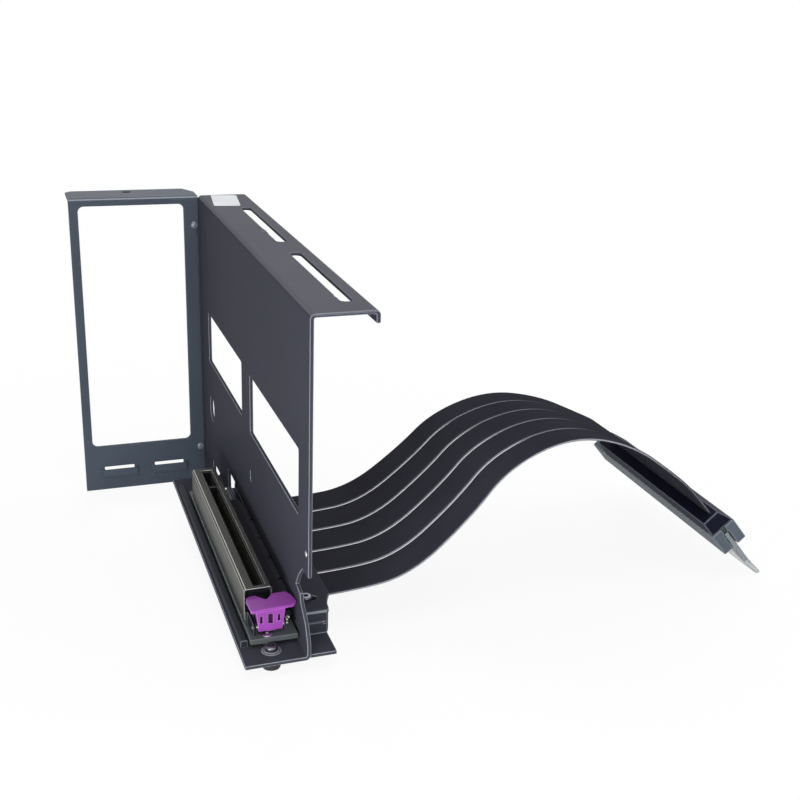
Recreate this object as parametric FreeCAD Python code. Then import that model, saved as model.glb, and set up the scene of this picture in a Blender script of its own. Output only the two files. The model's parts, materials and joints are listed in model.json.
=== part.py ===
import math
import os

import FreeCAD
import Part

# All sizes are in millimetres. X runs from the plate's free edge to the panel, Y runs from the
# tray's front to the plate, and Z is up. The numbers are first laid out with the plate's lower
# front corner at zero, and every solid is moved to the row's origin when it is written.

# sheet metal
SHEET_T = 1.2
BEND_R = 0.5
PLATE_BEND_R = 0.3

# rear plate, whose right edge is the panel's left face
PLATE_W = 49.0
PLATE_H = 121.0
PANEL_X0 = PLATE_W
PANEL_X1 = PLATE_W + SHEET_T
WIN_X0 = 3.4
WIN_X1 = PLATE_W - 5.7
WIN_Z0 = 19.3
WIN_Z1 = PLATE_H - 3.0
WIN_R = 2.2
CARD_FLANGE_DEPTH = 16.4
CARD_HOLE_X = PLATE_W / 2.0 - 1.5
CARD_HOLE_Y = 12.0
CARD_HOLE_R = 1.75
SLOT_PITCH = 20.32
POCKET_W = 12.0
POCKET_X0 = PLATE_W / 2.0 - SLOT_PITCH / 2.0 - POCKET_W / 2.0 - 0.64
POCKET_Z = 9.4
POCKET_OUT = 2.1
POCKET_WALL = 1.0
POCKET_SLIT = 0.65
CARD_FLANGE_BEVEL = 1.8

# rivets between the plate and the panel's rear flange
RIVET_X = PLATE_W - 1.6
RIVET_ZS = (15.4, PLATE_H - 11.4)
RIVET_HEAD_R = 1.5
RIVET_SHANK_R = 1.0
RIVET_HEAD_H = 0.6

# panel and its flanges
PANEL_FRONT = -167.2
REAR_FLANGE_X0 = PLATE_W - 5.1
TOP_W = 18.5
TOP_REAR = 1.0
LIP_H = 3.2
SLOT_X = PANEL_X1 + 12.1
SLOT_W = 3.6
SLOT_LEN = 58.6
SLOT_YC = (-54.4, -128.1)
DIMPLES = ((PANEL_X1 + 9.5, -67.2), (PANEL_X1 + 10.5, -151.5))
WINDOWS = ((-78.1, -16.5, 58.6, 78.3), (-155.8, -91.2, 57.4, 78.0))
OBLONG = (-20.5, 39.8, 8.0, 10.0)
SMALL_SLOT = (-91.5, 41.4, 2.0, 4.0)
CABLE_WIN = (-147.3, -50.6, 18.7, 26.5)
NOTCH_TOP_Z = 42.5
WALL_TOP_Z = 33.3
RELIEF_Y0 = -33.4
RELIEF_Y1 = -20.0
RELIEF_TOP = 17.0
SEAT_R0 = 2.8
SEAT_R1 = 2.3
SEAT_H = 0.5

# tray floor
FLOOR_X0 = PANEL_X0 - 18.5
FLOOR_TOP = 16.4
RAIL_X0 = FLOOR_X0 + 0.8
RAIL_W = 2.2
RAIL_H = 2.2
RAIL_Y0 = -157.0
RAIL_Y1 = -43.5

# riser board and what stands on it
SPACER_H = 1.5
BOARD_T = 1.6
BOARD_X0 = FLOOR_X0 + 3.5
BOARD_X1 = PANEL_X0 - 0.7
BOARD_Y0 = -158.7
BOARD_Y1 = -51.8
SHIELD_X0 = PANEL_X0 - 14.7
SHIELD_X1 = PANEL_X0 - 6.0
SHIELD_T = 0.4
SHIELD_Y0 = -148.4
SHIELD_Y1 = -57.5
SHIELD_H = 11.2
SOCKET_X0 = SHIELD_X0 + 3.4
SOCKET_W = 3.0
SOCKET_DEPTH = 9.0
SHORT_LEN = 12.2
KEY_T = 1.6
LONG_LEN = 72.2
SOCKET_REAR = -60.0
CONTACT_T = 0.35
CONTACT_PITCH = 1.0
FRONT_SCREW = (PANEL_X0 - 9.3, -160.8)
SHANK_R = 0.8
# board screws: X, Y, head radius, head height, radius of the spacer under the board
BOARD_SCREWS = (
    (PANEL_X0 - 2.0, -150.4, 1.1, 0.9, 1.0),
    (PANEL_X0 - 12.6, -54.4, 1.4, 1.1, 2.2),
    (PANEL_X0 - 2.8, -54.4, 1.4, 1.1, 1.75),
    (PANEL_X0 - 9.6, -156.7, 1.6, 0.25, 1.2),
)
ANCHOR_W = 4.4
ANCHOR_H = 4.4

# foot under the front screw
FOOT_R0 = 2.7
FOOT_R1 = 3.1
FOOT_H = 4.3

# latch
LATCH_XC = PANEL_X0 - 8.3
LATCH_TOP = 28.6
PIVOT_Y = SHIELD_Y0 - 6.9
PIVOT_Z = 21.6
PIN_R = 0.6
PIN_PLAY = 0.05
PIN_X0 = LATCH_XC - 5.6
PIN_X1 = LATCH_XC + 5.1
WING_T = 0.9
ARM_TOP = PIVOT_Z + 1.5

# cable clamp on the right of the panel
BASE_T = 1.2
CLAMP_TOP = 24.0
COVER_X1 = PANEL_X1 + 11.3
COVER_NOSE_X1 = PANEL_X1 + 8.1
COVER_FRONT = -155.7
TAB_FRONT = -166.3
COVER_REAR = -56.5
TAB_REAR = -46.5
HEM_Z = 20.1
COVER_SCREW = (PANEL_X1 + 3.5, -147.4)

# ribbon
STRIPS = 5
RIBBON_Y0 = -145.0
RIBBON_Y1 = -72.6
STRIP_GAP = 0.3
STRIP_T = 1.0
STRIP_Z = 22.3
# points of the ribbon's front and rear edges: distance to the right of the panel's left face, height
NEAR_ROUTE = (
    (-0.4, 22.3), (21.0, 22.3), (40.6, 25.5), (59.9, 43.1), (72.4, 59.3),
    (94.5, 67.8), (116.6, 62.2), (135.4, 48.4), (144.3, 40.4), (150.6, 32.8),
)
FAR_ROUTE = (
    (-0.4, 22.3), (21.0, 22.3), (41.0, 24.2), (60.0, 38.0), (73.0, 50.6),
    (94.5, 57.4), (116.0, 53.6), (134.0, 45.0), (144.5, 39.8), (150.6, 32.8),
)

# plug
PLUG_ANGLE = 50.0
PLUG_ROOT = (PANEL_X0 + 155.1, 27.5)
PLUG_Y0 = -147.0
PLUG_Y1 = -60.0
CAP_Y1 = -70.8
CAP_LEN = 6.8
CAP_LOW = 4.6
CAP_HIGH = 4.7
CAP_HIGH_REAR = 2.2
SHELL_LEN = 10.0
SHELL_HALF = 4.9
PLUG_BOARD_LEN = 19.6
FINGER_LEN = 8.0
PLUG_BOARD_T = 1.6
# clear sleeve: centreline along the plug and across it
SLEEVE_HALF = 1.2
SLEEVE_T = 0.25
SLEEVE_LINE = ((3.0, 0.0), (21.5, 0.0), (27.4, 1.1))
SLEEVE_R = 12.0

# blank label, turned a little on the flange: corner, sides and turn
LABEL_AT = (PANEL_X1 + 1.2, -21.2)
LABEL_W = 9.9
LABEL_L = 21.0
LABEL_TURN = -7.0
LABEL_R = 1.2

# derived levels
FLOOR_BOTTOM = FLOOR_TOP - SHEET_T
BOARD_Z0 = FLOOR_TOP + SPACER_H
BOARD_Z1 = BOARD_Z0 + BOARD_T
SHIELD_TOP = BOARD_Z1 + SHIELD_H
TOP_X1 = PANEL_X1 + TOP_W
REAR_Y = max(CARD_FLANGE_DEPTH, 2.0 * SHEET_T)
SHIFT = FreeCAD.Vector(-TOP_X1 / 2.0, -(REAR_Y + PANEL_FRONT) / 2.0, 0.0)

V = FreeCAD.Vector
NODES = []


def box(x0, x1, y0, y1, z0, z1):
    return Part.makeBox(x1 - x0, y1 - y0, z1 - z0, V(x0, y0, z0))


def cyl(r, h, at, axis=(0, 0, 1)):
    return Part.makeCylinder(r, h, V(*at), V(*axis))


def prism_x(points, x0, x1):
    wire = Part.makePolygon([V(x0, y, z) for y, z in points] + [V(x0, points[0][0], points[0][1])])
    return Part.Face(wire).extrude(V(x1 - x0, 0, 0))


def prism_y(points, y0, y1):
    wire = Part.makePolygon([V(x, y0, z) for x, z in points] + [V(points[0][0], y0, points[0][1])])
    return Part.Face(wire).extrude(V(0, y1 - y0, 0))


def prism_z(points, z0, z1):
    wire = Part.makePolygon([V(x, y, z0) for x, y in points] + [V(points[0][0], points[0][1], z0)])
    return Part.Face(wire).extrude(V(0, 0, z1 - z0))


def fillet_near(shape, radius, test):
    edges = [e for e in shape.Edges if test(e)]
    return shape.makeFillet(radius, edges) if edges else shape


def fuse(shapes):
    out = shapes[0]
    for s in shapes[1:]:
        out = out.fuse(s)
    return out.removeSplitter()


def write(name, shape):
    moved = shape.copy()
    moved.translate(SHIFT)
    solids = moved.Solids
    moved = solids[0] if len(solids) == 1 else Part.makeCompound(solids)
    if not moved.isValid():
        print("not valid:", name)
    moved.exportStep("parts/" + name + ".step")
    NODES.append((name, len(solids), moved.Volume))


def side(a, b, w):
    length = math.hypot(b[0] - a[0], b[1] - a[1])
    ux, uz = (b[0] - a[0]) / length, (b[1] - a[1]) / length
    return ux, uz, length, (-uz * w, ux * w)


def sheet_profile(points, thick, radius, y0, y1, plane="xz"):
    """A folded sheet: a centreline of straight runs joined by bends, thickened and extruded."""
    return ribbon(points, thick, [radius] * (len(points) - 2), y0, y1, plane)


def ribbon(points, thick, radii, y0, y1, plane="xz"):
    def at(p, q=0.0):
        return V(p[0], y0, p[1]) if plane == "xz" else V(y0, p[0], p[1])

    legs = []
    start = points[0]
    pieces = {1: [], -1: []}
    length = 0.0
    for i in range(1, len(points) - 1):
        p, q, r = points[i - 1], points[i], points[i + 1]
        u1x, u1z, l1, _ = side(p, q, 1.0)
        u2x, u2z, l2, _ = side(q, r, 1.0)
        cross = u1x * u2z - u1z * u2x
        turn = math.acos(max(-1.0, min(1.0, u1x * u2x + u1z * u2z)))
        cut = radii[i - 1] * math.tan(turn / 2.0)
        a = (q[0] - u1x * cut, q[1] - u1z * cut)
        b = (q[0] + u2x * cut, q[1] + u2z * cut)
        s = 1.0 if cross > 0 else -1.0
        c = (a[0] - u1z * s * radii[i - 1], a[1] + u1x * s * radii[i - 1])
        legs.append((start, a, (u1x, u1z), c, s, radii[i - 1], turn, b, (u2x, u2z)))
        length += math.hypot(a[0] - start[0], a[1] - start[1]) + radii[i - 1] * turn
        start = b
    ux, uz, tail, _ = side(start, points[-1], 1.0)
    length += tail
    for w in (1, -1):
        off = w * thick / 2.0
        for st, a, u1, c, s, rad, turn, b, u2 in legs:
            n1 = (-u1[1] * off, u1[0] * off)
            n2 = (-u2[1] * off, u2[0] * off)
            p0 = (st[0] + n1[0], st[1] + n1[1])
            p1 = (a[0] + n1[0], a[1] + n1[1])
            p2 = (b[0] + n2[0], b[1] + n2[1])
            if math.hypot(p1[0] - p0[0], p1[1] - p0[1]) > 1e-6:
                pieces[w].append(Part.LineSegment(at(p0), at(p1)).toShape())
            half = turn / 2.0 * s
            vx, vz = p1[0] - c[0], p1[1] - c[1]
            mid = (c[0] + vx * math.cos(half) - vz * math.sin(half),
                   c[1] + vx * math.sin(half) + vz * math.cos(half))
            pieces[w].append(Part.Arc(at(p1), at(mid), at(p2)).toShape())
        n = (-uz * off, ux * off)
        p0 = (start[0] + n[0], start[1] + n[1])
        p1 = (points[-1][0] + n[0], points[-1][1] + n[1])
        pieces[w].append(Part.LineSegment(at(p0), at(p1)).toShape())
    first = [pieces[w][0].Vertexes[0].Point for w in (1, -1)]
    last = [pieces[w][-1].Vertexes[-1].Point for w in (1, -1)]
    edges = pieces[1] + pieces[-1]
    edges.append(Part.LineSegment(first[0], first[1]).toShape())
    edges.append(Part.LineSegment(last[0], last[1]).toShape())
    wire = Part.Wire(Part.__sortEdges__(edges))
    push = V(0, y1 - y0, 0) if plane == "xz" else V(y1 - y0, 0, 0)
    solid = Part.Face(wire).extrude(push)
    return solid, length


def rounded_hole_x(y0, y1, z0, z1, r, x0, x1):
    cut = box(x0, x1, y0, y1, z0, z1)
    return fillet_near(cut, r, lambda e: abs(e.tangentAt(e.FirstParameter).x) > 0.99)


def slot_z(xc, yc, width, length, z0, z1):
    r = width / 2.0
    h = length / 2.0 - r
    return fuse([box(xc - r, xc + r, yc - h, yc + h, z0, z1), cyl(r, z1 - z0, (xc, yc - h, z0)),
                 cyl(r, z1 - z0, (xc, yc + h, z0))])


def main_bracket():
    t = SHEET_T
    mid = BEND_R + t / 2.0
    px = PANEL_X0 + t / 2.0
    lip_x = TOP_X1 - t / 2.0
    top_z = PLATE_H - t / 2.0
    floor_z = FLOOR_TOP - t / 2.0
    upper, _ = sheet_profile([(px, FLOOR_TOP + 8.0), (px, top_z), (lip_x, top_z), (lip_x, top_z - LIP_H)],
                             t, mid, PANEL_FRONT, TOP_REAR)
    lower, _ = sheet_profile([(px, FLOOR_TOP + 9.0), (px, floor_z), (FLOOR_X0, floor_z)],
                             t, mid, PANEL_FRONT, RELIEF_Y0)
    rear_panel = box(PANEL_X0, PANEL_X1, RELIEF_Y1, 0.0, 0.0, FLOOR_TOP + 9.0)
    gap_panel = box(PANEL_X0, PANEL_X1, RELIEF_Y0, RELIEF_Y1, RELIEF_TOP, FLOOR_TOP + 9.0)
    # the rear flange is one bend with the panel's rear edge, seen from above
    ry = SHEET_T + t / 2.0
    pts = [(px, -6.0), (px, ry), (REAR_FLANGE_X0, ry)]
    flange_z0, flange_z1 = 0.0, PLATE_H - SHEET_T - 2.0
    flange, _ = sheet_profile(pts, t, mid, flange_z0, flange_z1)
    flange.rotate(V(0, 0, 0), V(1, 0, 0), 90)
    flange = flange.mirror(V(0, 0, 0), V(0, 1, 0))
    # the panel's upper rear corner stays clear of the bend
    body = fuse([upper, lower, rear_panel, gap_panel])
    body = body.cut(box(PANEL_X0 - 1, PANEL_X1 + 1, -5.9, 5.0, -1.0, flange_z1))
    body = fuse([body, flange])
    cuts = []
    x0, x1 = PANEL_X0 - 3.0, PANEL_X1 + 3.0
    for y0, y1, z0, z1 in WINDOWS:
        cuts.append(rounded_hole_x(y0, y1, z0, z1, 0.8, x0, x1))
    y0, y1, z0, z1 = CABLE_WIN
    cuts.append(rounded_hole_x(y0, y1, z0, z1, 0.8, x0, x1))
    yc, zc, w, h = OBLONG
    cuts.append(rounded_hole_x(yc - w / 2, yc + w / 2, zc - h / 2, zc + h / 2, w / 2 - 0.2, x0, x1))
    yc, zc, w, h = SMALL_SLOT
    cuts.append(rounded_hole_x(yc - w / 2, yc + w / 2, zc - h / 2, zc + h / 2, w / 2 - 0.2, x0, x1))
    # open notch at the lower front, with its arc into the low wall
    f = PANEL_FRONT
    arc = Part.Arc(V(x0, f + 6.4, NOTCH_TOP_Z - 0.3), V(x0, f + 10.6, NOTCH_TOP_Z - 4.4),
                   V(x0, f + 13.9, WALL_TOP_Z)).toShape()
    path = [V(x0, f + 13.9, WALL_TOP_Z), V(x0, f + 9.4, WALL_TOP_Z - 0.9), V(x0, f + 8.4, WALL_TOP_Z - 3.2),
            V(x0, f + 2.9, WALL_TOP_Z - 7.7), V(x0, f, FLOOR_TOP + 4.0), V(x0, f - 3.0, FLOOR_TOP + 4.0),
            V(x0, f - 3.0, NOTCH_TOP_Z), V(x0, f, NOTCH_TOP_Z), V(x0, f + 6.4, NOTCH_TOP_Z - 0.3)]
    edges = [arc] + [Part.LineSegment(path[i], path[i + 1]).toShape() for i in range(len(path) - 1)]
    cuts.append(Part.Face(Part.Wire(Part.__sortEdges__(edges))).extrude(V(x1 - x0, 0, 0)))
    for yc in SLOT_YC:
        cuts.append(slot_z(SLOT_X, yc, SLOT_W, SLOT_LEN, PLATE_H - 3.0, PLATE_H + 1.0))
    for x, y in DIMPLES:
        cuts.append(cyl(0.8, 1.0, (x, y, PLATE_H - 0.3)))
    for z in RIVET_ZS:
        cuts.append(cyl(RIVET_SHANK_R, 4.0, (RIVET_X, -0.5, z), (0, 1, 0)))
    cuts.append(cyl(1.25, 4.0, (FRONT_SCREW[0], FRONT_SCREW[1], FLOOR_TOP - 3.0)))
    # raised seat of the front screw
    seat = Part.makeCone(SEAT_R0, SEAT_R1, SEAT_H, V(FRONT_SCREW[0], FRONT_SCREW[1], FLOOR_TOP))
    body = fuse([body, seat])
    for c in cuts:
        body = body.cut(c)
    body = body.cut(cyl(0.9, 0.5, (PANEL_X0 - 0.01, PANEL_FRONT + 2.0, 49.3), (1, 0, 0)))
    write("main_bracket", body)


def io_plate():
    t = SHEET_T
    mid = PLATE_BEND_R + t / 2.0
    plate, _ = sheet_profile([(t / 2, 0.0), (t / 2, PLATE_H - t / 2), (CARD_FLANGE_DEPTH, PLATE_H - t / 2)],
                             t, mid, 0.0, PLATE_W, "yz")
    win = box(WIN_X0, WIN_X1, -5.0, 5.0, WIN_Z0, WIN_Z1)
    win = fillet_near(win, WIN_R, lambda e: abs(e.tangentAt(e.FirstParameter).y) > 0.99)
    plate = plate.cut(win)
    corner = prism_z([(PLATE_W - 4.0, CARD_FLANGE_DEPTH + 1), (PLATE_W + 1, CARD_FLANGE_DEPTH + 1),
                      (PLATE_W + 1, CARD_FLANGE_DEPTH - 9.0)], PLATE_H - 3.0, PLATE_H + 1.0)
    plate = plate.cut(corner)
    b = CARD_FLANGE_BEVEL
    d = CARD_FLANGE_DEPTH
    corner = prism_z([(-1.0, d + 1), (b, d + 1), (b, d), (0.0, d - b), (-1.0, d - b)],
                     PLATE_H - 3.0, PLATE_H + 1.0)
    plate = plate.cut(corner)
    # the edge beside the panel is rounded, so that it sits inside the panel's rear bend
    r = BEND_R + 0.05
    edge = box(PLATE_W - r, PLATE_W + 1, t - r, t + 1, -1.0, PLATE_H - t - BEND_R)
    plate = plate.cut(edge.cut(cyl(r, PLATE_H + 2, (PLATE_W - r, t - r, -1.0))))
    plate = plate.cut(cyl(CARD_HOLE_R, 5.0, (CARD_HOLE_X, CARD_HOLE_Y, PLATE_H - 3.0)))
    for i in range(2):
        a = POCKET_X0 + i * SLOT_PITCH
        b = a + POCKET_W
        w = POCKET_WALL
        hood = prism_x([(0.2, POCKET_Z - 5.2), (-POCKET_OUT, POCKET_Z - 2.4), (-POCKET_OUT, POCKET_Z),
                        (0.2, POCKET_Z)], a - w, b + w)
        hollow = prism_x([(t + 0.5, POCKET_Z - 3.6), (0.0, POCKET_Z - 3.6), (w - POCKET_OUT, POCKET_Z - 2.2),
                          (w - POCKET_OUT, POCKET_Z + 0.5), (t + 0.5, POCKET_Z + 0.5)], a, b)
        slit = box(a, b, -0.5, t + 0.5, POCKET_Z, POCKET_Z + POCKET_SLIT)
        plate = fuse([plate, hood]).cut(hollow).cut(slit)
    for z in RIVET_ZS:
        plate = plate.cut(cyl(RIVET_SHANK_R, 4.0, (RIVET_X, -0.5, z), (0, 1, 0)))
    write("io_plate", plate)


def rivet(x, z):
    head = cyl(RIVET_HEAD_R, RIVET_HEAD_H, (x, -RIVET_HEAD_H, z), (0, 1, 0))
    head = fillet_near(head, 0.35, lambda e: e.BoundBox.YMax < -RIVET_HEAD_H + 0.01 and e.Length > 3)
    shank = cyl(RIVET_SHANK_R, 2 * SHEET_T, (x, 0.0, z), (0, 1, 0))
    tail = cyl(RIVET_HEAD_R, RIVET_HEAD_H, (x, 2 * SHEET_T, z), (0, 1, 0))
    return fuse([head, shank, tail])


def plate_rivets():
    write("plate_rivets", Part.makeCompound([rivet(RIVET_X, z) for z in RIVET_ZS]))


def panel_stud():
    r = 0.9
    disc = cyl(r, 0.49, (PANEL_X0, PANEL_FRONT + 2.0, 49.3), (1, 0, 0))
    dome = cyl(r, 0.3, (PANEL_X0 - 0.3, PANEL_FRONT + 2.0, 49.3), (1, 0, 0))
    dome = fillet_near(dome, 0.2, lambda e: e.BoundBox.XMax < PANEL_X0 - 0.29 and e.Length > 3)
    write("panel_stud", fuse([disc, dome]))


def board_holes(shape, z0, z1):
    for x, y, _, _, _ in BOARD_SCREWS:
        shape = shape.cut(cyl(SHANK_R, z1 - z0, (x, y, z0)))
    return shape


def riser():
    board = box(BOARD_X0, BOARD_X1, BOARD_Y0, BOARD_Y1, BOARD_Z0, BOARD_Z1)
    write("riser_board", board_holes(board, BOARD_Z0 - 1, BOARD_Z1 + 1))
    spacers, screws = [], []
    for x, y, head, high, r in BOARD_SCREWS:
        spacer = cyl(r, SPACER_H, (x, y, FLOOR_TOP))
        spacers.append(spacer.cut(cyl(SHANK_R, SPACER_H, (x, y, FLOOR_TOP))))
        top = cyl(head, high, (x, y, BOARD_Z1))
        rim = BOARD_Z1 + high - 0.01
        top = fillet_near(top, high * 0.4, lambda e: e.BoundBox.ZMin > rim and e.Length > 3)
        screw = fuse([top, cyl(SHANK_R, BOARD_Z1 - FLOOR_TOP, (x, y, FLOOR_TOP))])
        screw = screw.cut(cyl(head * 0.4, high * 0.6, (x, y, BOARD_Z1 + high * 0.5)))
        screws.append(screw)
    write("board_spacers", Part.makeCompound(spacers))
    write("board_screws", Part.makeCompound(screws))
    rail = box(RAIL_X0, RAIL_X0 + RAIL_W, RAIL_Y0, RAIL_Y1, FLOOR_TOP, FLOOR_TOP + RAIL_H)
    rail = fillet_near(rail, 0.5, lambda e: abs(e.tangentAt(e.FirstParameter).y) > 0.99
                       and e.BoundBox.ZMin > FLOOR_TOP + 0.5)
    write("side_rail", rail)


def socket_spans():
    rear = SOCKET_REAR
    short = (rear - SHORT_LEN, rear)
    long = (short[0] - KEY_T - LONG_LEN, short[0] - KEY_T)
    return short, long


def shield_profile(inset, z0):
    x0, x1, top = SHIELD_X0 + inset, SHIELD_X1 - inset, SHIELD_TOP - inset
    k = 1.5 - 0.25 * inset
    return [(x0, z0), (x0, top - k), (x0 + 1.1, top), (x1 - 0.6, top), (x1, top - 0.6), (x1, z0)]


def slot():
    short, long = socket_spans()
    z1 = SHIELD_TOP - SHIELD_T
    zb = z1 - SOCKET_DEPTH
    body = prism_y(shield_profile(SHIELD_T, BOARD_Z1), SHIELD_Y0 + 0.5, SHIELD_Y1 - 0.5)
    front, rear = SHIELD_Y0, SHIELD_Y0 + 0.6
    block = box(LATCH_XC - 4.2, LATCH_XC + 1.8, front - 3.4, rear, BOARD_Z1, BOARD_Z1 + 5.0)
    arms = []
    low = PIVOT_Z - 1.1
    for x0, x1, z0 in ((PIN_X0 + 0.2, LATCH_XC - 4.4, BOARD_Z1), (LATCH_XC + 4.1, PIN_X1 - 0.4, low)):
        arm = box(x0, x1, PIVOT_Y - 1.4, front, z0, ARM_TOP)
        arms.append(fillet_near(arm, 1.2, lambda e: abs(e.tangentAt(e.FirstParameter).x) > 0.99
                                and e.BoundBox.ZMin > ARM_TOP - 0.01 and e.BoundBox.YMax < PIVOT_Y))
    cross = box(PIN_X0 + 0.2, PIN_X1 - 0.4, front - 1.0, front, BOARD_Z1, ARM_TOP)
    join = box(SHIELD_X0 + SHIELD_T, SHIELD_X1 - SHIELD_T, front - 0.2, rear, BOARD_Z1, ARM_TOP)
    body = fuse([body, block, cross, join] + arms)
    for y0, y1 in (short, long):
        body = body.cut(box(SOCKET_X0, SOCKET_X0 + SOCKET_W, y0, y1, zb, z1 + 1.0))
    body = body.cut(cyl(PIN_R, PIN_X1 - PIN_X0 + 2.0, (PIN_X0 - 1.0, PIVOT_Y, PIVOT_Z), (1, 0, 0)))
    write("slot_housing", body)

    skin = prism_y(shield_profile(0.0, BOARD_Z1 + 0.7), SHIELD_Y0, SHIELD_Y1)
    skin = skin.cut(prism_y(shield_profile(SHIELD_T, BOARD_Z1 - 1.0), SHIELD_Y0 - 1, SHIELD_Y1 + 1))
    mouth = box(SOCKET_X0 - 0.5, SOCKET_X0 + SOCKET_W + 0.5, long[0] - 0.6, short[1] + 0.6, z1 - 1, z1 + 2)
    skin = skin.cut(mouth)
    feet = []
    for y in (SHIELD_Y0 + 4.0, (SHIELD_Y0 + SHIELD_Y1) / 2.0, SHIELD_Y1 - 6.0):
        feet.append(box(SHIELD_X0, SHIELD_X0 + SHIELD_T, y, y + 3.0, BOARD_Z1, BOARD_Z1 + 1.0))
        feet.append(box(SHIELD_X1 - SHIELD_T, SHIELD_X1, y, y + 3.0, BOARD_Z1, BOARD_Z1 + 1.0))
    write("slot_shield", fuse([skin] + feet))

    rows = []
    for y0, y1 in (short, long):
        count = int(round((y1 - y0 - 1.0) / CONTACT_PITCH))
        start = (y0 + y1) / 2.0 - count * CONTACT_PITCH / 2.0
        pts = [(start, zb), (start, zb + 1.0)]
        for i in range(count):
            a = start + i * CONTACT_PITCH + 0.2
            pts += [(a, zb + 1.0), (a, z1 - 1.2), (a + 0.6, z1 - 1.2), (a + 0.6, zb + 1.0)]
        pts += [(start + count * CONTACT_PITCH, zb + 1.0), (start + count * CONTACT_PITCH, zb)]
        rows.append(prism_x(pts, SOCKET_X0, SOCKET_X0 + CONTACT_T))
        rows.append(prism_x(pts, SOCKET_X0 + SOCKET_W - CONTACT_T, SOCKET_X0 + SOCKET_W))
    write("slot_contacts", Part.makeCompound(rows))


def latch():
    c, top = LATCH_XC, LATCH_TOP
    rear, front = SHIELD_Y0 - 0.4, PIVOT_Y - 2.5
    right = PANEL_X0 - 0.3
    outline = [(c - 6.2, front), (c - 6.4, rear - 2.4), (c - 5.9, rear - 0.7), (c - 4.6, rear),
               (c - 3.1, rear), (c - 1.6, rear - 1.8), (c - 0.4, rear - 3.0), (c + 0.7, rear - 1.8),
               (c + 1.8, rear), (c + 6.2, rear), (right - 0.6, rear - 2.2), (right, rear - 5.6),
               (right, front + 2.2), (right - 1.4, front + 0.9)]
    wing = prism_z(outline, top - WING_T, top)
    wing = fillet_near(wing, 0.3, lambda e: e.BoundBox.ZMin > top - 0.01)
    low = PIVOT_Z - 1.2
    body = prism_y([(c - 4.55, top - 1.0), (c - 3.7, low), (c + 3.4, low), (c + 4.3, top - 1.0)],
                   PIVOT_Y - 1.3, PIVOT_Y + 1.3)
    body = fillet_near(body, 0.6, lambda e: abs(e.tangentAt(e.FirstParameter).x) > 0.99
                       and e.BoundBox.ZMax < PIVOT_Z)
    hook = box(c - 1.1, c + 0.3, PIVOT_Y + 1.2, rear - 3.2, top - 3.2, top - 0.9)
    tail = box(c - 1.3, c + 1.5, PIVOT_Y - 1.1, PIVOT_Y + 0.2, PIVOT_Z - 1.25, PIVOT_Z)
    shape = fuse([wing, body, hook, tail])
    for x0, x1, z0, z1 in ((-3.4, -2.6, 1.8, 4.0), (-0.9, 0.5, 1.4, 4.6), (2.0, 2.8, 2.0, 4.0)):
        shape = shape.cut(box(c + x0, c + x1, PIVOT_Y - 2.0, PIVOT_Y - 0.3, PIVOT_Z + z0, PIVOT_Z + z1))
    shape = shape.cut(cyl(PIN_R + PIN_PLAY, 20.0, (c - 10.0, PIVOT_Y, PIVOT_Z), (1, 0, 0)))
    write("latch", shape)
    write("latch_pin", cyl(PIN_R, PIN_X1 - PIN_X0, (PIN_X0, PIVOT_Y, PIVOT_Z), (1, 0, 0)))


def fasteners():
    x, y = FRONT_SCREW
    seat = FLOOR_TOP + 0.5
    head = cyl(2.0, 1.4, (x, y, seat))
    head = fillet_near(head, 0.7, lambda e: e.BoundBox.ZMin > seat + 1.39 and e.Length > 3)
    hexa = prism_z([(x + 1.0 * math.cos(math.radians(60 * i)), y + 1.0 * math.sin(math.radians(60 * i)))
                    for i in range(6)], seat + 0.7, seat + 2.0)
    shank = cyl(1.25, seat - FLOOR_BOTTOM + 2.6, (x, y, FLOOR_BOTTOM - 2.6))
    write("front_screw", fuse([head, shank]).cut(hexa))
    foot = Part.makeCone(FOOT_R0, FOOT_R1, FOOT_H - 1.0, V(x, y, FLOOR_BOTTOM - FOOT_H))
    foot = fuse([foot, cyl(FOOT_R1, 1.0, (x, y, FLOOR_BOTTOM - 1.0))])
    foot = foot.cut(cyl(1.25, 2.6, (x, y, FLOOR_BOTTOM - 2.6)))
    write("foot", foot)


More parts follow.
